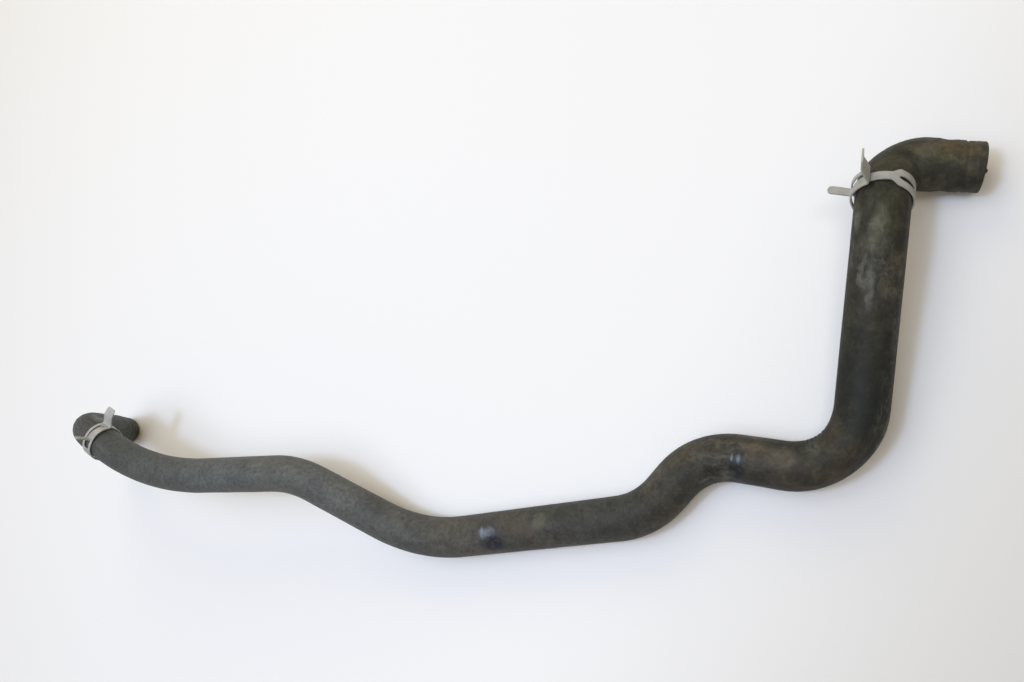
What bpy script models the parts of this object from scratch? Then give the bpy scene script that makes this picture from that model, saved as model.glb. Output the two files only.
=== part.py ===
"""Moulded rubber air hose with two spring band clamps, lying on a table.

Metres, +Z up, +X along the long way of the hose towards the outlet.
The hose is swept along a bend table; each clamp is one strip wrapped round it.
"""
import math

import bmesh
import bpy
from mathutils import Vector

MM = 0.001

# Hose section
HOSE_OUTER = 30.0 * MM
HOSE_WALL = 4.0 * MM
ROUND_STEPS = 32
BEND_STEP = math.radians(9.0)
BEND_CHORD = 12.0 * MM

# Bend table of the hose centreline: where the straight runs would meet (mm) and the bend radius (mm)
BENDS = [
    ("inlet mouth", -401.9, -4.5, 8.3, 0),
    ("inlet elbow", -353.9, -8.5, 79.8, 23),
    ("high run start", -271.9, -58.5, 68.8, 283),
    ("high run end", -87.9, -58.5, 53.8, 79),
    ("table run start", 14.1, -111.5, 16.3, 112),
    ("table run end", 199.1, -91.5, 14.8, 56),
    ("shoulder", 239.1, -52.5, 18.3, 46),
    ("big bend", 328.1, -69.5, 17.3, 40),
    ("elbow top", 358.3, 75.4, 41.0, 14),
    ("elbow low", 362.0, 111.2, 26.0, 20),
    ("outlet mouth", 409.4, 100.9, 14.3, 0),
]

# Ends, measured back from each mouth: a slim cuff, a groove, a low bead and then the full section
CUFF_LENGTH = 8.5 * MM
CUFF_DROP = 0.5 * MM
GROOVE_WIDTH = 2.4 * MM
GROOVE_DEPTH = 0.9 * MM
BEAD_LENGTH = 8.0 * MM
BEAD_DROP = 0.1 * MM
WAIST_DROP = 0.4 * MM
SWELL_LENGTH = 20.0 * MM
SWELL_HEIGHT = 0.5 * MM
MOUTH_ROUND = 0.6 * MM

# The two tightest bends are drawn slightly narrower: distance of the middle from the inlet mouth, how much
# the outer radius drops there and how far the narrowing reaches each way
TIGHT_BENDS = [
    (796.0 * MM, 0.8 * MM, 28.0 * MM),
    (971.0 * MM, 0.6 * MM, 13.0 * MM),
]

# Spring band clamps: a strip whose narrow tongue runs under the wide end and out through its window
BAND_WIDTH = 12.0 * MM
BAND_THICKNESS = 1.0 * MM
CLAMP_GAP = 0.55 * MM
LAYER_GAP = 0.45 * MM
RAIL_WIDTH = 2.7 * MM
TONGUE_GAP = 0.5 * MM
RELIEF_WIDTH = 3.4 * MM
EAR_BEND_RADIUS = 1.8 * MM
PLATE_EAR_LENGTH = 16.3 * MM
PLATE_EAR_TIP_WIDTH = 10.4 * MM
LIP_LENGTH = 7.8 * MM
LIP_TURN = math.radians(24.0)
TONGUE_EAR_LENGTH = 12.0 * MM

# Angles round each clamp from the foot of the plate ear: window, first relief slot, second relief slot,
# where the wide end comes down on the hose, and where the band narrows into the tongue
WINDOW = (5.0, 100.0)
FIRST_RELIEF = (122.0, 166.0)
SECOND_RELIEF = (248.0, 302.0)
COMING_DOWN = (30.0, 80.0)
NARROWING = (298.0, 318.0)

# Clamp places: distance along the centreline from the inlet mouth (mm), the way out at the plate ear's foot,
# the side on which the tongue ear follows it, the angle between the ears and how far each ear is turned up
CLAMPS = [
    ("inlet_clamp", 114.0, (0.488, 0.838, 0.245), 1, 61.0, 94.0, 84.0),
    ("outlet_clamp", 951.7, (-0.331, 0.360, 0.872), -1, 47.0, 84.0, 92.0),
]

COLOURS = {
    "hose_rubber": (0.045, 0.043, 0.038, 1.0),
    "clamp_steel": (0.45, 0.45, 0.43, 1.0),
}


def clearScene():
    for item in list(bpy.data.objects):
        bpy.data.objects.remove(item, do_unlink=True)


def makeCollection(name):
    group = bpy.data.collections.new(name)
    bpy.context.scene.collection.children.link(group)
    return group


def makeMaterial(name, colour, roughness, metallic):
    material = bpy.data.materials.new(name)
    material.use_nodes = True
    shader = material.node_tree.nodes["Principled BSDF"]
    shader.inputs["Base Color"].default_value = colour
    shader.inputs["Roughness"].default_value = roughness
    shader.inputs["Metallic"].default_value = metallic
    material.diffuse_color = colour
    return material


def bendPath():
    """Rounded corners of the bend table as points; straight runs keep only their ends."""
    corners = [Vector(row[1:4]) * MM for row in BENDS]
    radii = [row[4] * MM for row in BENDS]
    points = [corners[0]]
    for before, corner, after, radius in zip(corners, corners[1:], corners[2:], radii[1:]):
        arrive = (corner - before).normalized()
        leave = (after - corner).normalized()
        turn = arrive.angle(leave)
        start = corner - arrive * radius * math.tan(turn / 2)
        inward = (leave - arrive * arrive.dot(leave)).normalized()
        centre = start + inward * radius
        steps = max(3, math.ceil(turn / BEND_STEP), math.ceil(turn * radius / BEND_CHORD))
        for step in range(steps + 1):
            angle = turn * step / steps
            point = centre - inward * radius * math.cos(angle) + arrive * radius * math.sin(angle)
            if (point - points[-1]).length > 0.3 * MM:
                points.append(point)
    points.append(corners[-1])
    return points


def pathLengths(points):
    lengths = [0.0]
    for first, second in zip(points, points[1:]):
        lengths.append(lengths[-1] + (second - first).length)
    return lengths


def pointAt(points, lengths, distance):
    for i in range(len(points) - 1):
        if lengths[i + 1] >= distance:
            share = (distance - lengths[i]) / (lengths[i + 1] - lengths[i])
            return points[i].lerp(points[i + 1], share)
    return points[-1].copy()


def cuffStations():
    """Distances from a mouth and the outer radius there, from the mouth backwards."""
    radius = HOSE_OUTER / 2
    cuff = radius - CUFF_DROP
    groove = CUFF_LENGTH + GROOVE_WIDTH
    bead = groove + BEAD_LENGTH
    swell = bead + SWELL_LENGTH
    return [
        (0.0, cuff - MOUTH_ROUND),
        (MOUTH_ROUND, cuff),
        (CUFF_LENGTH, cuff),
        (CUFF_LENGTH + GROOVE_WIDTH / 2, radius - GROOVE_DEPTH),
        (groove, radius - BEAD_DROP * 2),
        (groove + BEAD_LENGTH / 2, radius - BEAD_DROP),
        (bead, radius - WAIST_DROP),
        (bead + SWELL_LENGTH * 0.3, radius + SWELL_HEIGHT * 0.7),
        (bead + SWELL_LENGTH * 0.55, radius + SWELL_HEIGHT),
        (swell, radius),
    ]


def bodyRadius(distance):
    """Outer radius between the ends, a little less in the tightest bends."""
    radius = HOSE_OUTER / 2
    for middle, drop, reach in TIGHT_BENDS:
        away = abs(distance - middle) / reach
        if away < 1.0:
            radius -= drop * math.cos(away * math.pi / 2) ** 2
    return radius


def sweep(name, points, radii, group):
    """A round tube through the points, closed at both ends."""
    curve = bpy.data.curves.new(name + "_path", "CURVE")
    curve.dimensions = "3D"
    curve.bevel_depth = 1.0
    curve.bevel_resolution = ROUND_STEPS // 4 - 1
    curve.use_fill_caps = True
    curve.twist_mode = "MINIMUM"
    spline = curve.splines.new("POLY")
    spline.points.add(len(points) - 1)
    for target, point, radius in zip(spline.points, points, radii):
        target.co = (point.x, point.y, point.z, 1.0)
        target.radius = radius
    carrier = bpy.data.objects.new(name + "_carrier", curve)
    group.objects.link(carrier)
    bpy.context.view_layer.update()
    graph = bpy.context.evaluated_depsgraph_get()
    mesh = bpy.data.meshes.new_from_object(carrier.evaluated_get(graph))
    bpy.data.objects.remove(carrier, do_unlink=True)
    work = bmesh.new()
    work.from_mesh(mesh)
    bmesh.ops.remove_doubles(work, verts=work.verts, dist=0.00002)
    bmesh.ops.recalc_face_normals(work, faces=work.faces)
    work.to_mesh(mesh)
    work.free()
    mesh.name = name
    body = bpy.data.objects.new(name, mesh)
    group.objects.link(body)
    return body


def buildHose(group, cutters, material):
    path = bendPath()
    lengths = pathLengths(path)
    total = lengths[-1]
    radius = HOSE_OUTER / 2
    stations = {}
    cuff = cuffStations()
    reach = cuff[-1][0]
    for distance, outer in cuff:
        stations[round(distance, 6)] = outer
        stations[round(total - distance, 6)] = outer
    for point, distance in zip(path, lengths):
        if reach + 0.4 * MM < distance < total - reach - 0.4 * MM:
            stations[round(distance, 6)] = bodyRadius(distance)
        elif MOUTH_ROUND < distance < reach and all(abs(distance - c[0]) > 1.2 * MM for c in cuff):
            before = [c for c in cuff if c[0] < distance][-1]
            after = [c for c in cuff if c[0] > distance][0]
            share = (distance - before[0]) / (after[0] - before[0])
            stations[round(distance, 6)] = before[1] + (after[1] - before[1]) * share
    order = sorted(stations)
    points = [pointAt(path, lengths, distance) for distance in order]
    hose = sweep("hose_body", points, [stations[distance] for distance in order], group)

    past = 3.0 * MM
    first = path[0] + (path[0] - path[1]).normalized() * past
    last = path[-1] + (path[-1] - path[-2]).normalized() * past
    bore_points = [first] + path[1:-1] + [last]
    bore_radius = radius - HOSE_WALL
    bore = sweep("bore_cutter", bore_points, [bore_radius] * len(bore_points), cutters)
    bore.hide_render = True
    bore.display_type = "WIRE"
    cut = hose.modifiers.new("bore", "BOOLEAN")
    cut.operation = "DIFFERENCE"
    cut.solver = "EXACT"
    cut.object = bore
    hose.data.materials.clear()
    hose.data.materials.append(material)
    return path, lengths


def easeBetween(low, high, angle):
    share = min(1.0, max(0.0, (angle - low) / (high - low)))
    return share * share * (3 - 2 * share)


def slotHalf(angle, slot, half):
    """Half width of a round-ended slot at this angle, nothing outside it."""
    start, end = slot
    inside = min(angle - start, end - angle)
    if inside <= 0:
        return 0.0
    return half * min(1.0, math.sqrt(inside / 6.0))


def ringAngles(spread):
    marks = set()
    angle = 0.0
    while angle < 360.0 + spread:
        marks.add(angle)
        angle += 10.0
    for start, end in (WINDOW, FIRST_RELIEF, SECOND_RELIEF):
        marks.update((start, start + 2.0, start + 6.0, end - 6.0, end - 2.0, end))
    marks.update(NARROWING)
    marks.add(360.0 + spread)
    order = sorted(marks)
    return [a for a, after in zip(order, order[1:] + [999.0]) if after - a > 0.9]


def stripStations(spread):
    """The clamp's strip from the tip of the plate ear to the tip of the tongue ear.

    Each station: part of the strip, place on it, half width, half width of the opening, height over the ring.
    """
    half = BAND_WIDTH / 2
    window = half - RAIL_WIDTH
    tongue = window - TONGUE_GAP
    tip = PLATE_EAR_TIP_WIDTH / 2
    relief = RELIEF_WIDTH / 2
    lift = BAND_THICKNESS + LAYER_GAP
    rows = [
        ("lip", LIP_LENGTH, tip - 1.2 * MM, 0.0, lift),
        ("lip", LIP_LENGTH - 0.5 * MM, tip - 0.4 * MM, 0.0, lift),
        ("lip", LIP_LENGTH - 1.5 * MM, tip, 0.0, lift),
        ("plate", PLATE_EAR_LENGTH - LIP_LENGTH, half * 0.96, 0.0, lift),
        ("plate", 1.0 * MM, half, 0.0, lift),
        ("plate bend", 0.0, half, 0.0, lift),
    ]
    for angle in ringAngles(spread):
        wide = half + (tongue - half) * easeBetween(*NARROWING, angle)
        opening = max(slotHalf(angle, WINDOW, window), slotHalf(angle, FIRST_RELIEF, relief))
        opening = max(opening, slotHalf(angle, SECOND_RELIEF, relief))
        rows.append(("ring", angle, wide, opening, lift * (1 - easeBetween(*COMING_DOWN, angle))))
    rows.append(("tongue bend", 0.0, tongue, 0.0, 0.0))
    for share, narrow in ((0.1, 1.0), (0.6, 1.0), (0.84, 1.0), (0.95, 0.75), (1.0, 0.4)):
        rows.append(("tongue", TONGUE_EAR_LENGTH * share, tongue * narrow, 0.0, 0.0))
    return rows


def bendUp(foot, tangent, outward, turn):
    """The bend from the ring into an ear, and the ear's direction."""
    steps = 4
    points = []
    for step in range(1, steps + 1):
        angle = turn * step / steps
        across = tangent * math.sin(angle) * EAR_BEND_RADIUS
        up = outward * (1 - math.cos(angle)) * EAR_BEND_RADIUS
        points.append(foot + across + up)
    direction = tangent * math.cos(turn) + outward * math.sin(turn)
    return points, direction


def buildClamp(name, centre, axis, plate_way, sense, spread, turns, group, material):
    ring_radius = HOSE_OUTER / 2 + CLAMP_GAP + BAND_THICKNESS / 2
    first = (plate_way - axis * plate_way.dot(axis)).normalized()
    second = axis.cross(first) * sense

    def outwardAt(angle):
        turn = math.radians(angle)
        return first * math.cos(turn) + second * math.sin(turn)

    def forwardAt(angle):
        turn = math.radians(angle)
        return second * math.cos(turn) - first * math.sin(turn)

    plate_turn, tongue_turn = turns
    lift = BAND_THICKNESS + LAYER_GAP
    plate_foot = centre + outwardAt(0.0) * (ring_radius + lift)
    plate_bend, plate_out = bendUp(plate_foot, -forwardAt(0.0), outwardAt(0.0), plate_turn)
    lip_out = -forwardAt(0.0) * math.cos(plate_turn - LIP_TURN) + outwardAt(0.0) * math.sin(plate_turn - LIP_TURN)
    lip_foot = plate_bend[-1] + plate_out * (PLATE_EAR_LENGTH - LIP_LENGTH)
    end = 360.0 + spread
    tongue_foot = centre + outwardAt(end) * ring_radius
    tongue_bend, tongue_out = bendUp(tongue_foot, forwardAt(end), outwardAt(end), tongue_turn)

    rows = []
    for part, amount, wide, opening, height in stripStations(spread):
        if part == "lip":
            rows.append((lip_foot + lip_out * amount, wide, opening))
        elif part == "plate":
            rows.append((plate_bend[-1] + plate_out * amount, wide, opening))
        elif part == "plate bend":
            rows += [(point, wide, opening) for point in reversed(plate_bend)]
        elif part == "ring":
            rows.append((centre + outwardAt(amount) * (ring_radius + height), wide, opening))
        elif part == "tongue bend":
            rows += [(point, wide, opening) for point in tongue_bend]
        else:
            rows.append((tongue_bend[-1] + tongue_out * amount, wide, opening))

    mesh = bpy.data.meshes.new(name)
    work = bmesh.new()
    seam = 0.15 * MM
    lines = []
    for point, wide, opening in rows:
        inner = max(opening, seam)
        lines.append([work.verts.new(point + axis * side) for side in (-wide, -inner, inner, wide)])
    for i in range(len(lines) - 1):
        for column in range(3):
            if column == 1 and max(rows[i][2], rows[i + 1][2]) > 0:
                continue
            work.faces.new([lines[i][column], lines[i][column + 1], lines[i + 1][column + 1], lines[i + 1][column]])
    bmesh.ops.recalc_face_normals(work, faces=work.faces)
    work.to_mesh(mesh)
    work.free()
    clamp = bpy.data.objects.new(name, mesh)
    group.objects.link(clamp)
    thick = clamp.modifiers.new("thickness", "SOLIDIFY")
    thick.thickness = BAND_THICKNESS
    thick.offset = 0.0
    thick.use_even_offset = True
    clamp.data.materials.append(material)
    return clamp


def main():
    clearScene()
    group = makeCollection("air_intake_duct")
    cutters = makeCollection("cutters")
    rubber = makeMaterial("hose_rubber", COLOURS["hose_rubber"], 0.75, 0.0)
    path, lengths = buildHose(group, cutters, rubber)
    for name, place, plate_way, sense, spread, plate_turn, tongue_turn in CLAMPS:
        steel = makeMaterial(name + "_steel", COLOURS["clamp_steel"], 0.5, 0.8)
        distance = place * MM
        centre = pointAt(path, lengths, distance)
        behind = pointAt(path, lengths, distance - 3.0 * MM)
        ahead = pointAt(path, lengths, distance + 3.0 * MM)
        axis = (ahead - behind).normalized()
        turns = (math.radians(plate_turn), math.radians(tongue_turn))
        buildClamp(name, centre, axis, Vector(plate_way), sense, spread, turns, group, steel)


main()
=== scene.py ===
import math

import bmesh
import bpy
from mathutils import Euler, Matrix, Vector, noise


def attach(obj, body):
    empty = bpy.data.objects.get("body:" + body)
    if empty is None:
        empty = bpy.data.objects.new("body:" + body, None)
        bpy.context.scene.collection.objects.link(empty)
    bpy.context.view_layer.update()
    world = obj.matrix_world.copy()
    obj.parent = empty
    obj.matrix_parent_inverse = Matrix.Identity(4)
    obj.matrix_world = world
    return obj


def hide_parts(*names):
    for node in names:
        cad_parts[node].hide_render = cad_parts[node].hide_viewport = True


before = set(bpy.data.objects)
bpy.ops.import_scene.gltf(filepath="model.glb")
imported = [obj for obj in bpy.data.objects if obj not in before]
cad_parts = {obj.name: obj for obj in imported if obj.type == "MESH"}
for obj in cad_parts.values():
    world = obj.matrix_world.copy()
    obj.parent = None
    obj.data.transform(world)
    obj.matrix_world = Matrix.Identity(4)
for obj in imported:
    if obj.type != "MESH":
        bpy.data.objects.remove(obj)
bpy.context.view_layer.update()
mm = 0.001


def toLinear(hexColour):
    channels = [int(hexColour[i:i + 2], 16) / 255 for i in (1, 3, 5)]
    linear = [c / 12.92 if c <= 0.04045 else ((c + 0.055) / 1.055) ** 2.4 for c in channels]
    return (*linear, 1.0)


def addNode(tree, kind, links=None, **settings):
    node = tree.nodes.new(kind)
    for name, value in settings.items():
        setattr(node, name, value)
    for socket, source in (links or {}).items():
        if isinstance(source, bpy.types.NodeSocket):
            tree.links.new(source, node.inputs[socket])
        else:
            node.inputs[socket].default_value = source
    return node


def newMaterial(name):
    material = bpy.data.materials.new(name)
    material.use_nodes = True
    return material, material.node_tree, material.node_tree.nodes["Principled BSDF"]


def addObject(name, data):
    made = bpy.data.objects.new(name, data)
    bpy.context.scene.collection.objects.link(made)
    return made


# camera: above the outlet end, turned towards the middle of the hose as in the photograph

cameraView = {
    "place": (0.40094, -0.08545, 0.50222),
    "turn": (11.907, 32.060, -0.174),
    "lens": 27.33,
    "sensor": 36,
}

cameraData = bpy.data.cameras.new("photoCamera")
cameraData.lens = cameraView["lens"]
cameraData.sensor_width = cameraView["sensor"]
camera = addObject("photoCamera", cameraData)
camera.location = cameraView["place"]
camera.rotation_euler = Euler([math.radians(a) for a in cameraView["turn"]], "XYZ")
bpy.context.scene.camera = camera
print("camera set")


# hose: one moulded tube along the bend table, lengths in mm and angles in degrees from the top

hoseShape = {
    "bends": [              # corners, each with the radius of its bend
        (-401.9, -4.5, 8.3, 0), (-353.9, -8.5, 79.8, 23), (-271.9, -58.5, 68.8, 283),
        (-87.9, -58.5, 53.8, 79), (14.1, -111.5, 16.3, 112), (199.1, -91.5, 14.8, 56),
        (239.1, -52.5, 18.3, 46), (328.1, -69.5, 17.3, 40), (358.3, 75.4, 41.0, 14),
        (362.0, 111.2, 26.0, 20), (409.4, 100.9, 14.3, 0),
    ],
    "softening": 2.0,       # how far the bends blend into the straight runs
    "tangentReach": 1.5,
    "outerRadius": 14.88,
    "boreRadius": 11.0,
    "tightBends": [(796.0, 0.8, 28.0), (971.0, 0.8, 13.0)],     # place, drop of the radius, reach
    # both ends, measured back from the mouth: slim cuff, groove, low bead, waist, swell, full section
    "endProfile": [
        (0.0, -0.5), (8.5, -0.5), (9.7, -0.9), (10.9, -0.2), (14.9, -0.1), (18.9, -0.4),
        (24.9, 0.35), (29.9, 0.5), (38.9, 0.0),
    ],
    # fine rings that the mould leaves on both ends: distance from the mouth and depth
    "rings": [(4.2, -0.1), (5.4, 0.12), (13.0, 0.1), (16.6, 0.08), (22.0, 0.06)],
    "ringWidth": 0.35,
    "edgeRound": 0.7,
    # creases pressed into the inner side of the tight bends: place, angle, depth, length
    "creases": [
        (783.0, 62, 0.25, 1.1), (786.5, 54, 0.4, 1.1), (790.0, 60, 0.5, 1.3),
        (794.0, 56, 0.45, 1.2), (798.5, 64, 0.35, 1.4), (803.5, 60, 0.2, 1.4),
        (967.0, 120, 0.35, 1.2), (972.0, 116, 0.45, 1.3), (977.0, 122, 0.3, 1.2),
        (84.0, 150, 0.4, 1.4), (88.5, 154, 0.45, 1.4), (716.0, -96, 0.25, 1.4),
        (721.0, -92, 0.25, 1.4),
    ],
    "creaseReach": 6,
    "creaseSpread": 0.5,    # radians round the hose
    "ridgeShare": 0.45,     # the rubber pushed up beside a crease
    "ridgeShift": 2.0,
    "lumpHeight": 0.09,     # fine unevenness of the whole wall
    "lumpLength": 26.0,
    "lumpScale": 1.3,
    # the knife's cut of the ends is not quite square
    "cutReach": 3.0,
    "cutInset": 0.25,
    "cutWaver": 0.25,
    "cutScale": 1.1,
    "cutSeeds": (3.0, 7.0),
    # small burr left on the outlet's rim
    "burrHeight": 1.1,
    "burrAngle": -28,
    "burrWidth": 0.045,
    "burrFrom": 12.5,
    # spacing of the mesh
    "sides": 96,
    "step": 2.0,
    "fineStep": 0.7,
    "finePlaces": [(776, 808), (963, 981)],
    "fineEnds": 40,
    "mouthSteps": (0.0, 0.12, 0.3, 0.7),
    "lastGap": 0.9,
    "boreStep": 4.0,
    "boreEdge": [(0.0, 0.5), (0.15, 0.15), (0.5, 0.0)],         # distance in, how much wider
    "coordRadius": 15,      # radius that the texture coordinates are drawn on
}


def roundedCorners():
    corners = [Vector(row[:3]) for row in hoseShape["bends"]]
    radii = [row[3] for row in hoseShape["bends"]]
    rough = [corners[0]]
    for before, corner, after, radius in zip(corners, corners[1:], corners[2:], radii[1:]):
        arrive = (corner - before).normalized()
        leave = (after - corner).normalized()
        turn = arrive.angle(leave)
        start = corner - arrive * radius * math.tan(turn / 2)
        inward = (leave - arrive * arrive.dot(leave)).normalized()
        centre = start + inward * radius
        steps = max(4, math.ceil(turn * radius))
        for step in range(steps + 1):
            angle = turn * step / steps
            out = inward * radius * math.cos(angle)
            rough.append(centre - out + arrive * radius * math.sin(angle))
    rough.append(corners[-1])
    return rough


# one point for each millimetre, the last at the mouth
def evenPoints(rough):
    lengths = [0.0]
    for first, second in zip(rough, rough[1:]):
        lengths.append(lengths[-1] + (second - first).length)
    total = lengths[-1]
    even = []
    at = 0
    for k in range(int(total) + 2):
        distance = min(float(k), total)
        while at < len(rough) - 2 and lengths[at + 1] < distance:
            at += 1
        share = (distance - lengths[at]) / max(lengths[at + 1] - lengths[at], 1e-6)
        even.append(rough[at].lerp(rough[at + 1], share))
    return even, total


# each point becomes a weighted mean of its neighbours, and the line runs straight on past both ends
def softened(even):
    spread = hoseShape["softening"]
    reach = int(spread * 3)
    weights = [math.exp(-0.5 * (k / spread) ** 2) for k in range(-reach, reach + 1)]
    startWay = even[1] - even[0]
    endWay = even[-3] - even[-4]
    soft = []
    for i in range(len(even)):
        total = Vector()
        for k, weight in zip(range(-reach, reach + 1), weights):
            j = i + k
            if j < 0:
                point = even[0] + startWay * j
            elif j > len(even) - 2:
                point = even[-2] + endWay * (j - len(even) + 2)
            else:
                point = even[j]
            total += point * weight
        soft.append(total / sum(weights))
    soft[-1] = even[-1]
    return soft


evenLine, hoseLength = evenPoints(roundedCorners())
hoseLine = softened(evenLine)


def lineAt(distance):
    distance = max(0.0, min(distance, hoseLength))
    low = min(int(distance), len(hoseLine) - 2)
    span = hoseLength - low if low == len(hoseLine) - 2 else 1.0
    return hoseLine[low].lerp(hoseLine[low + 1], min(1.0, (distance - low) / max(span, 1e-6)))


def lineFrame(distance):
    before = lineAt(distance - hoseShape["tangentReach"])
    after = lineAt(distance + hoseShape["tangentReach"])
    tangent = (after - before).normalized()
    side = Vector((0, 0, 1)).cross(tangent).normalized()
    top = tangent.cross(side)
    return lineAt(distance), tangent, side, top


def bump(x, middle, width):
    return math.exp(-0.5 * ((x - middle) / width) ** 2)


def smoothStep(low, high, x):
    t = max(0.0, min(1.0, (x - low) / (high - low)))
    return t * t * (3 - 2 * t)


def angleGap(a, b):
    return abs((a - b + math.pi) % (2 * math.pi) - math.pi)


def creaseDepth(distance, angle):
    total = 0.0
    for middle, way, depth, length in hoseShape["creases"]:
        if abs(distance - middle) < hoseShape["creaseReach"]:
            near = bump(angleGap(angle, math.radians(way)), 0.0, hoseShape["creaseSpread"])
            groove = bump(distance, middle, length * 0.45)
            ridge = bump(distance, middle + hoseShape["ridgeShift"], length * 0.7)
            total += depth * near * (groove - hoseShape["ridgeShare"] * ridge)
    return total


def outerRadius(distance, angle):
    fromMouth = min(distance, hoseLength - distance)
    radius = hoseShape["outerRadius"]
    for middle, drop, reach in hoseShape["tightBends"]:
        away = abs(distance - middle) / reach
        if away < 1:
            radius -= drop * math.cos(away * math.pi / 2) ** 2
    if fromMouth < hoseShape["edgeRound"]:
        drop = 1 - fromMouth / hoseShape["edgeRound"]
        radius -= hoseShape["edgeRound"] * (1 - math.sqrt(max(0.0, 1 - drop * drop)))
    profile = hoseShape["endProfile"]
    for (near, low), (far, high) in zip(profile, profile[1:]):
        if near <= fromMouth < far:
            radius += low + (high - low) * smoothStep(near, far, fromMouth)
    for ring, depth in hoseShape["rings"]:
        radius -= depth * bump(fromMouth, ring, hoseShape["ringWidth"])
    radius -= creaseDepth(distance, angle)
    around = Vector((math.sin(angle), math.cos(angle), distance / hoseShape["lumpLength"]))
    return radius + hoseShape["lumpHeight"] * noise.noise(around * hoseShape["lumpScale"])


# rings of the mesh, out over the skin from inlet to outlet and back through the bore: distance and
# radius, with no radius where outerRadius gives it
def hoseRings():
    mouth = hoseShape["mouthSteps"]
    ends = hoseShape["fineEnds"]
    fine = [(0, ends), *hoseShape["finePlaces"], (hoseLength - ends, hoseLength)]
    last = hoseLength - hoseShape["lastGap"]
    stations = list(mouth)
    distance = mouth[-1]
    while distance < last:
        close = any(low <= distance <= high for low, high in fine)
        distance += hoseShape["fineStep"] if close else hoseShape["step"]
        if distance < last:
            stations.append(distance)
    stations += [hoseLength - step for step in reversed(mouth)]
    rings = [(distance, None) for distance in stations]

    bore = hoseShape["boreRadius"]
    edge = hoseShape["boreEdge"]
    rings += [(hoseLength - into, bore + wider) for into, wider in edge]
    distance = hoseLength - edge[-1][0]
    while distance > hoseShape["boreStep"] + 1:
        distance -= hoseShape["boreStep"]
        rings.append((distance, bore))
    rings += [(into, bore + wider) for into, wider in reversed(edge)]
    return rings


# how far the cut moves a point of the ends along the hose
def cutShift(distance, angle, radius):
    fromOutlet = hoseLength - distance
    atInlet = distance < fromOutlet
    fade = 1 - min(distance, fromOutlet) / hoseShape["cutReach"]
    if fade <= 0:
        return 0.0
    seed = hoseShape["cutSeeds"][0 if atInlet else 1]
    around = Vector((math.sin(angle), math.cos(angle), seed))
    waver = hoseShape["cutWaver"] * noise.noise(around * hoseShape["cutScale"])
    shift = (hoseShape["cutInset"] + waver) * fade
    if atInlet:
        return shift
    shift = -shift
    if radius > hoseShape["burrFrom"]:
        near = angleGap(angle, math.radians(hoseShape["burrAngle"]))
        shift += hoseShape["burrHeight"] * fade * bump(near, 0, hoseShape["burrWidth"])
    return shift


def buildHose():
    sides = hoseShape["sides"]
    work = bmesh.new()
    coordLayer = work.verts.layers.float_vector.new("hoseCoords")
    loops = []
    for distance, fixed in hoseRings():
        centre, tangent, side, top = lineFrame(distance)
        loop = []
        for k in range(sides):
            angle = 2 * math.pi * k / sides
            radius = fixed if fixed else outerRadius(distance, angle)
            way = side * math.sin(angle) + top * math.cos(angle)
            point = centre + way * radius + tangent * cutShift(distance, angle, radius)
            vertex = work.verts.new(point * mm)
            across = math.sin(angle) * hoseShape["coordRadius"]
            up = math.cos(angle) * hoseShape["coordRadius"]
            vertex[coordLayer] = Vector((distance, across, up)) * mm
            loop.append(vertex)
        loops.append(loop)
    for i, here in enumerate(loops):
        there = loops[(i + 1) % len(loops)]
        for k in range(sides):
            beside = (k + 1) % sides
            work.faces.new([here[k], there[k], there[beside], here[beside]])
    bmesh.ops.recalc_face_normals(work, faces=work.faces)
    mesh = bpy.data.meshes.new("hoseBody")
    work.to_mesh(mesh)
    work.free()
    mesh.shade_smooth()
    return addObject("hoseBody", mesh)


# rubber of the hose: EPDM, wrapped on a mandrel and cured, so it is matt and faintly uneven;
# years in an engine bay leave brown dust, paler scuffs and a few spots rubbed smooth and dark

rubberLook = {
    # the shade along the hose in mm: grey on the inlet half, nearly black on the rising part
    "shades": [
        (0, "#414340"), (110, "#424441"), (200, "#4a4c49"), (290, "#555755"), (425, "#565754"),
        (475, "#494a48"), (515, "#42433f"), (560, "#3f3e39"), (650, "#373732"), (695, "#2f2f28"),
        (785, "#21221b"), (830, "#12140e"), (875, "#24231b"), (920, "#2a291e"), (1000, "#3a3728"),
    ],
    "dust": "#574c3d",
    "scuff": "#716e66",
    "scuffShare": 0.45,
    "roughness": 0.6,
    "ior": 1.5,
    "specular": 0.2,        # dust takes most of the sheen
    # noises on the rubber: size in m, detail, roughness of the noise
    "noises": {
        "dust": (0.06, 5.0, 0.6),
        "mottle": (0.022, 6.0, 0.62),
        "fleck": (0.0028, 4.0, 0.65),
        "stain": (0.009, 5.0, 0.68),
        "blotch": (0.007, 5.0, 0.7),
        "ragged": (0.004, 5.0, 0.7),
    },
    "patchSize": 0.04,
    "streakLength": 0.03,
    "streakWidth": 0.005,
    "wobbleSize": 0.008,    # the pattern is bent by this much so that no edge runs straight
    "wobbleReach": 0.009,
    "grainSize": 0.0009,    # real grain is about 0.3 mm, drawn coarser so that it shows
}

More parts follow.
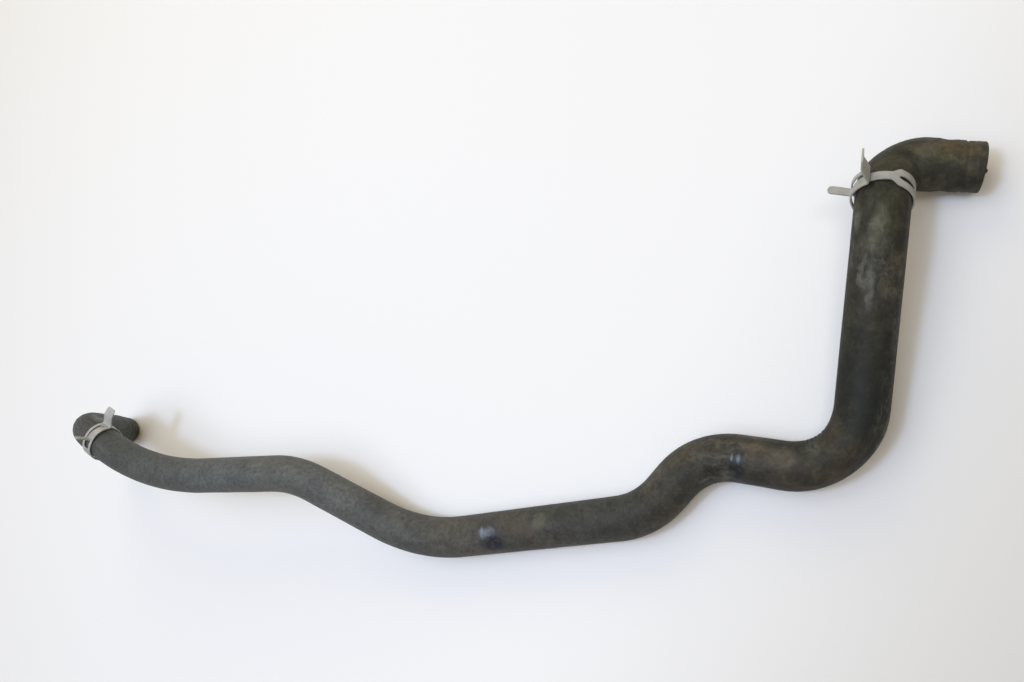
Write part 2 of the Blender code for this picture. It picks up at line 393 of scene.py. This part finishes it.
# marks on the rubber, wear and dirt with a few painted highlights and painted shade among them: along, side
# and top (mm, on the straightened hose), half length, half width, strength, colour and how much smoother
# the rubber is there
rubberMarksAndPaintedLight = [
    (550.0, -4.0, 14.0, 9.5, 13.0, 0.7, "#2a2e36", 0.26),       # worn shiny by a bracket
    (552.0, -8.6, 12.3, 9.0, 7.0, 1.0, "#171a21", 0.26),
    # painted highlights: two bright bluish glints on the rubbed band
    (547.0, 0.2, 15.0, 6.5, 4.6, 0.7, "#7c848e", 0.08),
    (543.5, 0.5, 15.0, 1.2, 4.4, 0.5, "#8a919b", 0.08),
    (578.0, 1.0, 15.0, 12.0, 8.0, 0.4, "#5b5145", -0.03),
    (591.0, 3.5, 14.5, 5.0, 6.0, 0.35, "#6f6c5d", -0.03),
    (741.5, -7.0, 13.3, 5.6, 9.0, 1.0, "#13171a", 0.3),
    # painted highlights: two thin bluish-white glints on the dark worn patch
    (738.0, 0.0, 15.0, 0.7, 2.6, 0.6, "#7d8890", 0.1),
    (742.0, -0.2, 15.0, 1.2, 2.8, 0.5, "#76818a", 0.1),
    (722.5, -9.4, 11.6, 7.0, 4.2, 0.95, "#171614", 0.0),        # oily smear
    (749.0, 7.0, 13.2, 7.0, 5.5, 0.45, "#66594b", -0.05),       # rust dust
    (766.0, 3.5, 14.5, 12.0, 7.0, 0.4, "#6b6459", -0.05),
    (790.0, 8.0, 12.7, 5.0, 5.0, 0.35, "#696d66", 0.0),         # dry scuffs
    (932.0, 10.5, 10.7, 5.0, 3.0, 0.5, "#74756a", 0.0),
    (930.0, -1.6, 14.9, 6.0, 5.0, 0.5, "#71705f", 0.0),
    (920.0, 0.5, 15.0, 6.0, 7.0, 0.28, "#6a6656", 0.0),
    (904.0, 5.2, 14.0, 10.0, 1.8, 0.5, "#68685f", 0.0),
    (896.0, 0.0, 15.0, 12.0, 1.6, 0.5, "#68685f", 0.0),
    (94.0, 14.5, -2.0, 8.0, 6.0, 0.5, "#85888a", 0.05),
    (966.0, -6.0, 13.6, 7.0, 6.0, 0.4, "#57503f", -0.03),       # brown dust and oil at the outlet
    (986.0, 3.0, 14.7, 7.0, 5.0, 0.45, "#5c5848", -0.03),
    (1004.0, 6.5, 13.5, 11.0, 5.5, 0.45, "#57452f", -0.05),
    (992.0, -6.0, 13.7, 8.0, 5.0, 0.7, "#191815", 0.03),
    # painted shade: a dark strip along the outlet's lower side
    (1006.0, -12.0, 9.0, 16.0, 6.5, 0.75, "#1e1c18", 0.0),
    (1012.0, -3.0, 14.7, 4.0, 4.0, 0.6, "#1c1a16", 0.0),
]


def rubberMaterial():
    material, tree, shader = newMaterial("epdmMouldedRubber")
    coords = addNode(tree, "ShaderNodeAttribute", attribute_name="hoseCoords").outputs["Vector"]
    along = addNode(tree, "ShaderNodeSeparateXYZ", {0: coords}).outputs["X"]
    wobble = addNode(
        tree, "ShaderNodeTexNoise",
        {"Vector": coords, "Scale": 1 / rubberLook["wobbleSize"], "Detail": 4.0},
    )
    wobbleShift = addNode(
        tree, "ShaderNodeVectorMath",
        {0: wobble.outputs["Color"], 1: (0.5, 0.5, 0.5)}, operation="SUBTRACT",
    )
    wobbleScaled = addNode(
        tree, "ShaderNodeVectorMath",
        {0: wobbleShift.outputs[0], "Scale": rubberLook["wobbleReach"]}, operation="SCALE",
    )
    bentCoords = addNode(
        tree, "ShaderNodeVectorMath", {0: coords, 1: wobbleScaled.outputs[0]}, operation="ADD",
    ).outputs[0]
    noises = {}
    for name, (size, detail, rough) in rubberLook["noises"].items():
        noises[name] = addNode(
            tree, "ShaderNodeTexNoise",
            {"Vector": bentCoords, "Scale": 1 / size, "Detail": detail, "Roughness": rough},
        ).outputs[0]

    share = addNode(tree, "ShaderNodeMath", {0: along, 1: hoseLength * mm}, operation="DIVIDE")
    base = addNode(tree, "ShaderNodeValToRGB", {"Fac": share.outputs[0]})
    ramp = base.color_ramp
    ramp.elements.remove(ramp.elements[1])
    for place, paint in rubberLook["shades"]:
        stop = ramp.elements.new(place / hoseLength) if place else ramp.elements[0]
        stop.color = toLinear(paint)

    # brown dust in broad soft clouds, more of it towards the outlet
    dustMask = addNode(
        tree, "ShaderNodeMapRange", {"Value": noises["dust"], "From Min": 0.42, "From Max": 0.68},
        interpolation_type="SMOOTHSTEP",
    )
    dustShare = addNode(
        tree, "ShaderNodeMapRange",
        {"Value": share.outputs[0], "From Min": 0.1, "From Max": 0.6, "To Min": 0.1, "To Max": 0.32},
    )
    dustAmount = addNode(
        tree, "ShaderNodeMath", {0: dustMask.outputs[0], 1: dustShare.outputs[0]}, operation="MULTIPLY",
    )
    dusty = addNode(
        tree, "ShaderNodeMix",
        {0: dustAmount.outputs[0], 6: base.outputs[0], 7: toLinear(rubberLook["dust"])}, data_type="RGBA",
    )

    # uneven blackening of the cured skin
    mottleShade = addNode(
        tree, "ShaderNodeMapRange",
        {"Value": noises["mottle"], "From Min": 0.3, "From Max": 0.7, "To Min": 0.72, "To Max": 1.26},
    )
    fleckShade = addNode(
        tree, "ShaderNodeMapRange",
        {"Value": noises["fleck"], "From Min": 0.3, "From Max": 0.7, "To Min": 0.66, "To Max": 1.36},
    )
    shade = addNode(
        tree, "ShaderNodeMath", {0: mottleShade.outputs[0], 1: fleckShade.outputs[0]}, operation="MULTIPLY",
    )

    # oil stains, black against the dust, few on the left half and many round the outlet
    stainShade = addNode(
        tree, "ShaderNodeMapRange",
        {"Value": noises["stain"], "From Min": 0.4, "From Max": 0.6, "To Min": -0.5, "To Max": 0.42},
    )
    stainShare = addNode(
        tree, "ShaderNodeMapRange", {"Value": along, "From Min": 0.5, "From Max": 0.99, "To Min": 0.12},
    )
    stained = addNode(
        tree, "ShaderNodeMath", {0: stainShade.outputs[0], 1: stainShare.outputs[0], 2: 1.0},
        operation="MULTIPLY_ADD",
    )
    fullShade = addNode(
        tree, "ShaderNodeMath", {0: shade.outputs[0], 1: stained.outputs[0]}, operation="MULTIPLY",
    )
    mottled = addNode(
        tree, "ShaderNodeVectorMath", {0: dusty.outputs[2], "Scale": fullShade.outputs[0]},
        operation="SCALE",
    )

    # dust wiped along the hose in pale streaks
    acrossScale = 1 / rubberLook["streakWidth"]
    streakCoords = addNode(
        tree, "ShaderNodeVectorMath",
        {0: bentCoords, 1: (1 / rubberLook["streakLength"], acrossScale, acrossScale)},
        operation="MULTIPLY",
    )
    streaks = addNode(
        tree, "ShaderNodeTexNoise",
        {"Vector": streakCoords.outputs[0], "Scale": 1.0, "Detail": 5.0, "Roughness": 0.65},
    )
    streakMask = addNode(
        tree, "ShaderNodeMapRange", {"Value": streaks.outputs[0], "From Min": 0.46, "From Max": 0.7},
        interpolation_type="SMOOTHSTEP",
    )

    # pale scuffs: soft blotches and the streaks, gathered in patches
    blotchMask = addNode(
        tree, "ShaderNodeMapRange", {"Value": noises["blotch"], "From Min": 0.48, "From Max": 0.72},
        interpolation_type="SMOOTHSTEP",
    )
    patches = addNode(
        tree, "ShaderNodeTexNoise", {"Vector": coords, "Scale": 1 / rubberLook["patchSize"], "Detail": 3.0},
    )
    patchMask = addNode(
        tree, "ShaderNodeMapRange", {"Value": patches.outputs[0], "From Min": 0.46, "From Max": 0.66},
        interpolation_type="SMOOTHSTEP",
    )
    pale = addNode(
        tree, "ShaderNodeMath", {0: blotchMask.outputs[0], 1: streakMask.outputs[0]}, operation="MAXIMUM",
    )
    scuffMask = addNode(
        tree, "ShaderNodeMath", {0: pale.outputs[0], 1: patchMask.outputs[0]}, operation="MULTIPLY",
    )
    scuffAmount = addNode(
        tree, "ShaderNodeMath", {0: scuffMask.outputs[0], 1: rubberLook["scuffShare"]},
        operation="MULTIPLY",
    )
    scuffed = addNode(
        tree, "ShaderNodeMix",
        {0: scuffAmount.outputs[0], 6: mottled.outputs[0], 7: toLinear(rubberLook["scuff"])},
        data_type="RGBA",
    )

    # marks of wear, painted highlights and painted shade, each broken up by a finer noise so that its edge
    # is ragged
    breakUp = addNode(
        tree, "ShaderNodeMapRange",
        {"Value": noises["ragged"], "From Min": 0.36, "From Max": 0.55, "To Min": 0.3},
    )
    colour = scuffed.outputs[2]
    smooth = 0.0
    for place, side, top, halfLength, halfWidth, strength, paint, shine in rubberMarksAndPaintedLight:
        source = coords if halfLength < 2 else bentCoords       # the thin ones stay straight
        gap = addNode(
            tree, "ShaderNodeVectorMath", {0: source, 1: (place * mm, side * mm, top * mm)},
            operation="SUBTRACT",
        )
        stretch = (1 / (halfLength * mm), 1 / (halfWidth * mm), 1 / (halfWidth * mm))
        sized = addNode(tree, "ShaderNodeVectorMath", {0: gap.outputs[0], 1: stretch}, operation="MULTIPLY")
        far = addNode(tree, "ShaderNodeVectorMath", {0: sized.outputs[0]}, operation="LENGTH")
        spot = addNode(
            tree, "ShaderNodeMapRange",
            {"Value": far.outputs["Value"], "From Min": 1.4, "From Max": 0.5, "To Max": strength},
            interpolation_type="SMOOTHSTEP",
        )
        mask = addNode(
            tree, "ShaderNodeMath", {0: spot.outputs[0], 1: breakUp.outputs[0]}, operation="MULTIPLY",
        ).outputs[0]
        colour = addNode(
            tree, "ShaderNodeMix", {0: mask, 6: colour, 7: toLinear(paint)}, data_type="RGBA",
        ).outputs[2]
        smooth = addNode(
            tree, "ShaderNodeMath", {0: mask, 1: shine, 2: smooth}, operation="MULTIPLY_ADD",
        ).outputs[0]
    tree.links.new(colour, shader.inputs["Base Color"])

    roughness = rubberLook["roughness"]
    roughBase = addNode(
        tree, "ShaderNodeMapRange",
        {"Value": noises["mottle"], "From Min": 0.3, "From Max": 0.7, "To Min": roughness - 0.07,
         "To Max": roughness + 0.09},
    )
    rough = addNode(tree, "ShaderNodeMath", {0: roughBase.outputs[0], 1: smooth}, operation="SUBTRACT")
    tree.links.new(rough.outputs[0], shader.inputs["Roughness"])
    shader.inputs["IOR"].default_value = rubberLook["ior"]
    shader.inputs["Specular IOR Level"].default_value = rubberLook["specular"]

    grain = addNode(
        tree, "ShaderNodeTexNoise", {"Vector": coords, "Scale": 1 / rubberLook["grainSize"], "Detail": 2.0},
    )
    grainBump = addNode(
        tree, "ShaderNodeBump", {"Height": grain.outputs[0], "Strength": 0.35, "Distance": 0.1 * mm},
    )
    lumpBump = addNode(
        tree, "ShaderNodeBump",
        {"Height": noises["mottle"], "Strength": 0.5, "Distance": 0.6 * mm, "Normal": grainBump.outputs[0]},
    )
    tree.links.new(lumpBump.outputs[0], shader.inputs["Normal"])
    return material


hose = buildHose()
hose.data.materials.append(rubberMaterial())
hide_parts("hose_body")
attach(hose, "root")
print("hose built")


# spring band clamps: one strip of spring steel each, its narrow tongue passed through the window of
# the wide end, both ends bent up as ears for the pliers; lengths in mm, angles in degrees round the
# ring from the plate ear

clampShape = {
    "bandWidth": 12.0,
    "thickness": 1.0,
    "ringRadius": 16.05,
    "angleStep": 2.0,
    "layerLift": 1.45,      # the wide end stands this far out where the tongue runs under it
    "comingDown": (30, 80),
    "railWidth": 2.7,
    "tongueGap": 0.5,
    "reliefWidth": 3.4,
    "window": (5, 100),
    "windowRound": 9,       # degrees over which an opening's end is rounded
    "firstRelief": (122, 166),
    "secondRelief": (248, 302),
    "reliefRound": 8,
    "reliefTaper": (285, 302),
    "taperShare": 0.3,
    "narrowing": (298, 318),
    "sliver": 0.05,         # half width of the middle column where there is no opening
    "earBend": 1.8,
    "plateEar": 16.3,
    "plateTip": 10.4,
    "plateCorner": 1.8,
    "plateTaperFrom": 0.35,
    "lip": 7.8,
    "lipTurn": 24,
    "lipFold": 1.2,
    "tongueEar": 12.0,
    "tongueCurl": 8,
    "tongueTip": 0.22,
    "edge": 0.34,
    "edgeSegments": 3,
}

# each clamp: node, distance along the hose, way out at the plate ear's foot, side of the tongue ear,
# angle between the ears, and how far each ear is turned up
clampPlaces = {
    "inletClamp": ("inlet_clamp", 114.0, (0.488, 0.838, 0.245), 1, 61.0, 94.0, 84.0),
    "outletClamp": ("outlet_clamp", 951.7, (-0.331, 0.360, 0.872), -1, 47.0, 84.0, 92.0),
}


def slotHalf(angle, slot, half, cap):
    inset = min(angle - slot[0], slot[1] - angle)
    if inset <= 0:
        return 0.0
    if inset >= cap:
        return half
    t = 1 - inset / cap
    return half * math.sqrt(max(0.0, 1 - t * t))


# rows round the ring: angle, half width of the band, half width of its opening, height over the ring
def ringRows(spread):
    half = clampShape["bandWidth"] / 2
    window = half - clampShape["railWidth"]
    tongue = window - clampShape["tongueGap"]
    relief = clampShape["reliefWidth"] / 2
    reliefRound = clampShape["reliefRound"]
    rows = []
    angle = 0.0
    while angle <= 360 + spread + 0.01:
        wide = half + (tongue - half) * smoothStep(*clampShape["narrowing"], angle)
        taper = 1 - clampShape["taperShare"] * smoothStep(*clampShape["reliefTaper"], angle)
        opening = max(
            slotHalf(angle, clampShape["window"], window, clampShape["windowRound"]),
            slotHalf(angle, clampShape["firstRelief"], relief, reliefRound),
            slotHalf(angle, clampShape["secondRelief"], relief, reliefRound) * taper,
        )
        height = clampShape["layerLift"] * (1 - smoothStep(*clampShape["comingDown"], angle))
        rows.append((angle, wide, opening, height))
        angle += clampShape["angleStep"]
    return rows, half, tongue


# points up an ear: the bend out of the ring, then the blade, which curls back a little
def earPoints(foot, outward, forward, turn, length, curl, curlStart, curlEnd):
    bendRadius = clampShape["earBend"]
    bendSteps = 6
    bladeSteps = 40
    points = []
    for step in range(1, bendSteps + 1):
        angle = turn * step / bendSteps
        bend = forward * math.sin(angle) + outward * (1 - math.cos(angle))
        points.append((0.0, foot + bend * bendRadius))
    place = points[-1][1].copy()
    for step in range(1, bladeSteps + 1):
        up = length * step / bladeSteps
        angle = turn - curl * smoothStep(curlStart, curlEnd, up)
        place += (forward * math.cos(angle) + outward * math.sin(angle)) * length / bladeSteps
        points.append((up, place.copy()))
    return points


# the strip from the plate ear's tip to the tongue ear's: point, half width, half width of the opening
def clampLine(centre, first, second, spread, plateTurn, tongueTurn):
    def around(angle, height):
        turn = math.radians(angle)
        outward = first * math.cos(turn) + second * math.sin(turn)
        forward = second * math.cos(turn) - first * math.sin(turn)
        return centre + outward * (clampShape["ringRadius"] + height), outward, forward

    rows, half, tongue = ringRows(spread)
    foot, outward, forward = around(0, clampShape["layerLift"])
    length = clampShape["plateEar"]
    fold = length - clampShape["lip"]
    plate = earPoints(
        foot, outward, -forward, math.radians(plateTurn), length, math.radians(clampShape["lipTurn"]),
        fold - clampShape["lipFold"], fold + clampShape["lipFold"],
    )
    tip = clampShape["plateTip"] / 2
    cornerSize = clampShape["plateCorner"]
    line = []
    for up, point in reversed(plate):
        wide = half + (tip - half) * smoothStep(clampShape["plateTaperFrom"] * length, length, up)
        corner = max(0.0, up - length + cornerSize) / cornerSize
        cut = cornerSize * (1 - math.sqrt(max(0.0, 1 - corner * corner)))
        line.append((point, wide - cut, 0.0))
    for angle, wide, opening, height in rows:
        line.append((around(angle, height)[0], wide, opening))
    foot, outward, forward = around(360 + spread, 0)
    length = clampShape["tongueEar"]
    tongueLine = earPoints(
        foot, outward, forward, math.radians(tongueTurn), length, math.radians(clampShape["tongueCurl"]),
        2, length,
    )
    for up, point in tongueLine:
        corner = max(0.0, up - length + tongue) / tongue
        narrow = max(clampShape["tongueTip"], math.sqrt(max(0.0, 1 - corner ** 2.6)))
        line.append((point, tongue * narrow, 0.0))
    return line


def buildClamp(name, distance, plateWay, sense, spread, plateTurn, tongueTurn):
    centre = lineAt(distance)
    axis = (lineAt(distance + 3) - lineAt(distance - 3)).normalized()
    first = Vector(plateWay)
    first = (first - axis * first.dot(axis)).normalized()
    second = axis.cross(first) * sense
    line = clampLine(centre, first, second, spread, plateTurn, tongueTurn)

    work = bmesh.new()
    sliver = clampShape["sliver"]
    lines = []
    for point, wide, opening in line:
        opening = max(opening, sliver)
        places = (-wide, -(wide + opening) / 2, -opening, opening, (wide + opening) / 2, wide)
        lines.append([work.verts.new((point + axis * place) * mm) for place in places])
    for i in range(len(lines) - 1):
        here, there = lines[i], lines[i + 1]
        isOpen = line[i][2] > sliver or line[i + 1][2] > sliver
        for column in range(5):
            if column == 2 and isOpen:          # the middle column is left out along an opening
                continue
            work.faces.new([here[column], here[column + 1], there[column + 1], there[column]])
    bmesh.ops.recalc_face_normals(work, faces=work.faces)
    mesh = bpy.data.meshes.new(name)
    work.to_mesh(mesh)
    work.free()
    clamp = addObject(name, mesh)
    thick = clamp.modifiers.new("thickness", "SOLIDIFY")
    thick.thickness = clampShape["thickness"] * mm
    thick.offset = 0.0
    thick.use_even_offset = True
    edge = clamp.modifiers.new("edge", "BEVEL")
    edge.width = clampShape["edge"] * mm
    edge.segments = clampShape["edgeSegments"]
    edge.limit_method = "ANGLE"
    edge.angle_limit = math.radians(50)
    bpy.context.view_layer.update()
    evaluated = clamp.evaluated_get(bpy.context.evaluated_depsgraph_get())
    finished = bpy.data.meshes.new_from_object(evaluated)
    clamp.modifiers.clear()
    clamp.data = finished
    finished.shade_smooth()
    finished.set_sharp_from_angle(angle=math.radians(40))
    finished.name = name
    return clamp


# steel of the clamps: spring steel with a zinc flake coat, dipped and baked, so it is dull grey with a
# soft metal sheen, darker in patches and with brown dust in others

steelLook = {
    "coat": "#a8a7a1",
    "dull": "#86847d",
    "dust": "#8f8a7e",
    "metallic": 0.15,
    "roughness": 0.6,
    "patchSize": 0.006,
    "grimeSize": 0.014,
    "grainSize": 0.0007,    # the flakes are finer, drawn coarser so that they show
}


def steelMaterial():
    material, tree, shader = newMaterial("zincFlakeSpringSteel")
    coords = addNode(tree, "ShaderNodeTexCoord").outputs["Object"]
    patches = addNode(
        tree, "ShaderNodeTexNoise",
        {"Vector": coords, "Scale": 1 / steelLook["patchSize"], "Detail": 5.0, "Roughness": 0.6},
    )
    dullMask = addNode(
        tree, "ShaderNodeMapRange",
        {"Value": patches.outputs[0], "From Min": 0.45, "From Max": 0.7, "To Max": 0.6},
    )
    coat = addNode(
        tree, "ShaderNodeMix",
        {0: dullMask.outputs[0], 6: toLinear(steelLook["coat"]), 7: toLinear(steelLook["dull"])},
        data_type="RGBA",
    )
    grime = addNode(
        tree, "ShaderNodeTexNoise", {"Vector": coords, "Scale": 1 / steelLook["grimeSize"], "Detail": 4.0},
    )
    grimeMask = addNode(
        tree, "ShaderNodeMapRange",
        {"Value": grime.outputs[0], "From Min": 0.5, "From Max": 0.72, "To Max": 0.5},
    )
    dirty = addNode(
        tree, "ShaderNodeMix",
        {0: grimeMask.outputs[0], 6: coat.outputs[2], 7: toLinear(steelLook["dust"])}, data_type="RGBA",
    )
    tree.links.new(dirty.outputs[2], shader.inputs["Base Color"])
    shader.inputs["Metallic"].default_value = steelLook["metallic"]
    roughness = steelLook["roughness"]
    rough = addNode(
        tree, "ShaderNodeMapRange",
        {"Value": patches.outputs[0], "From Min": 0.3, "From Max": 0.7, "To Min": roughness - 0.08,
         "To Max": roughness + 0.12},
    )
    tree.links.new(rough.outputs[0], shader.inputs["Roughness"])
    grain = addNode(
        tree, "ShaderNodeTexNoise", {"Vector": coords, "Scale": 1 / steelLook["grainSize"], "Detail": 2.0},
    )
    grainBump = addNode(
        tree, "ShaderNodeBump", {"Height": grain.outputs[0], "Strength": 0.3, "Distance": 0.08 * mm},
    )
    tree.links.new(grainBump.outputs[0], shader.inputs["Normal"])
    return material


clampSteel = steelMaterial()
for name, (node, *place) in clampPlaces.items():
    clamp = buildClamp(name, *place)
    clamp.data.materials.append(clampSteel)
    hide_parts(node)
    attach(clamp, "root")
print("clamps built")


# table: a pale sheet with painted shade, darker towards +x and -y, where the light falls off

tableLook = {
    "size": 8.0,
    "pale": "#f4f4f3",
    "shaded": "#cfcdc7",
    "slope": (1.0, -0.6, 0.0),
    "shadeFrom": 0.2,
    "shadeTo": 0.64,
    "roughness": 0.8,
    "specular": 0.2,
}

tableMesh = bpy.data.meshes.new("table")
work = bmesh.new()
bmesh.ops.create_grid(work, x_segments=1, y_segments=1, size=tableLook["size"] / 2)
work.to_mesh(tableMesh)
work.free()
table = addObject("table", tableMesh)
tableMaterial, tree, shader = newMaterial("paleTableTop")
coords = addNode(tree, "ShaderNodeTexCoord").outputs["Object"]
slope = addNode(tree, "ShaderNodeVectorMath", {0: coords, 1: tableLook["slope"]}, operation="DOT_PRODUCT")
fade = addNode(
    tree, "ShaderNodeMapRange",
    {"Value": slope.outputs["Value"], "From Min": tableLook["shadeFrom"], "From Max": tableLook["shadeTo"]},
    interpolation_type="SMOOTHSTEP",
)
pale = addNode(
    tree, "ShaderNodeMix",
    {0: fade.outputs[0], 6: toLinear(tableLook["pale"]), 7: toLinear(tableLook["shaded"])},
    data_type="RGBA",
)
tree.links.new(pale.outputs[2], shader.inputs["Base Color"])
shader.inputs["Roughness"].default_value = tableLook["roughness"]
shader.inputs["Specular IOR Level"].default_value = tableLook["specular"]
table.data.materials.append(tableMaterial)


# light: a broad ceiling, a cool lamp over the middle and a plain one to the right, and a warm window
# behind, so that the shadows next to the hose are tan and the wide ones in front bluish

lampPlan = {
    "ceiling": {"place": (-0.4, 0.05, 2.5), "size": 3.0, "power": 42.5, "colour": "#e0edff"},
    "middleLamp": {"place": (-0.06, -0.1, 1.75), "size": 0.3, "power": 8.0, "colour": "#bcd6ff"},
    "rightLamp": {"place": (0.9, -0.1, 1.75), "size": 0.5, "power": 5.0, "colour": "#fffaef"},
    "backWindow": {"place": (-0.356, 2.017, 1.434), "size": 1.6, "power": 15.5, "colour": "#fff3c8"},
}

for name, plan in lampPlan.items():
    lampData = bpy.data.lights.new(name, "AREA")
    lampData.shape = "DISK"
    lampData.size = plan["size"]
    lampData.energy = plan["power"]
    lampData.color = toLinear(plan["colour"])[:3]
    lamp = addObject(name, lampData)
    lamp.location = plan["place"]
    lamp.rotation_euler = (-Vector(plan["place"])).to_track_quat("-Z", "Y").to_euler()

# the room: warm light from all sides on matt surfaces, a pale wall where the camera sees it and in
# what metal or gloss reflects
roomLight = {"warm": "#ffe0b8", "level": 0.28, "wall": "#fbfcff", "wallLevel": 0.95}

world = bpy.data.worlds.new("softRoom")
bpy.context.scene.world = world
world.use_nodes = True
tree = world.node_tree
background = tree.nodes["Background"]
lightPath = addNode(tree, "ShaderNodeLightPath")
straight = addNode(
    tree, "ShaderNodeMath",
    {0: lightPath.outputs["Is Camera Ray"], 1: lightPath.outputs["Is Transmission Ray"]},
    operation="MAXIMUM",
)
seen = addNode(
    tree, "ShaderNodeMath", {0: straight.outputs[0], 1: lightPath.outputs["Is Glossy Ray"]},
    operation="MAXIMUM",
)
level = addNode(
    tree, "ShaderNodeMapRange",
    {"Value": seen.outputs[0], "To Min": roomLight["level"], "To Max": roomLight["wallLevel"]},
)
tint = addNode(
    tree, "ShaderNodeMix",
    {0: seen.outputs[0], 6: toLinear(roomLight["warm"]), 7: toLinear(roomLight["wall"])},
    data_type="RGBA",
)
tree.links.new(level.outputs[0], background.inputs["Strength"])
tree.links.new(tint.outputs[2], background.inputs["Color"])

bpy.context.scene.view_settings.view_transform = "Standard"
print("stage and lights set")
